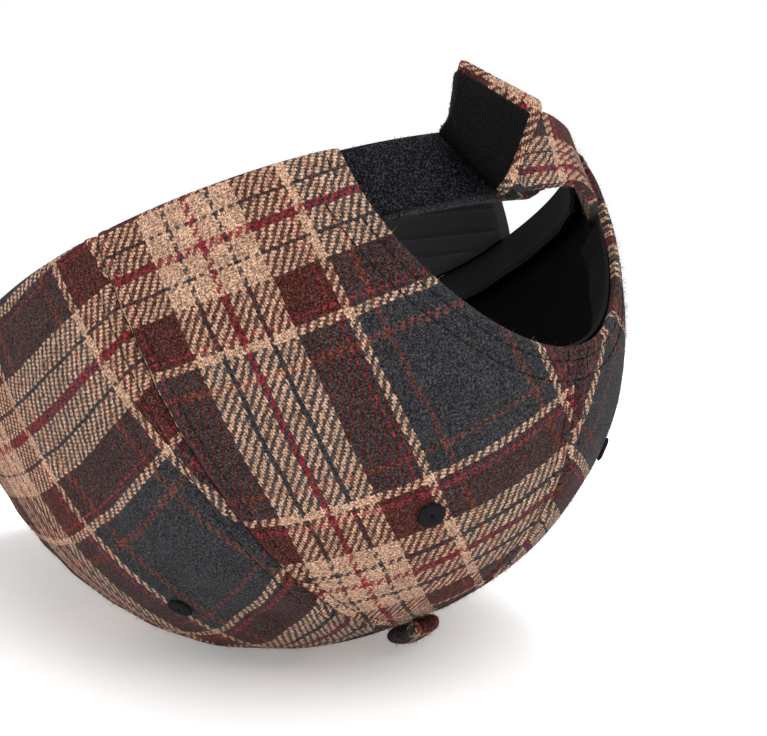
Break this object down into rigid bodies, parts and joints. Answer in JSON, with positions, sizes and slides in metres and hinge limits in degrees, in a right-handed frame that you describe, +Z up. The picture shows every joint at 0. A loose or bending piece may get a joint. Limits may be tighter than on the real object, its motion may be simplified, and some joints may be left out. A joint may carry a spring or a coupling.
{
  "type": "baseball cap",
  "caption": "Plaid wool cap with a curved peak, a black lining and a hook-and-loop back strap peeled open, lying upside down on its crown",
  "frame": {"origin": "centre of the box's bottom, on the surface that the cap lies on", "axes": "+Z is up, +Y points towards the peak and +X towards the wearer's left"},
  "size_m": [0.1838, 0.264, 0.1419],
  "materials": {
    "plaid_wool": "matte, brushed wool twill in a brown, beige, grey and red plaid",
    "black_twill": "matte twill",
    "black_pile": "matte hook or loop pile",
    "black_thread": "matte thread"
  },
  "bodies": {
    "root": {"crown_back_right": "plaid_wool", "crown_side_right": "plaid_wool", "crown_front_right": "plaid_wool", "crown_front_left": "plaid_wool", "crown_side_left": "plaid_wool", "crown_back_left": "plaid_wool", "lining": "black_twill", "sweatband": "black_twill", "opening_tape": "black_twill", "peak": "plaid_wool", "peak_underside": "black_twill", "loop_strap": "plaid_wool", "loop_pad": "black_pile", "hook_strap": "plaid_wool", "hook_pad": "black_pile", "button": "plaid_wool", "eyelet_1": "black_thread", "eyelet_2": "black_thread", "eyelet_3": "black_thread", "eyelet_4": "black_thread", "eyelet_5": "black_thread", "eyelet_6": "black_thread"}
  },
  "joints": []
}
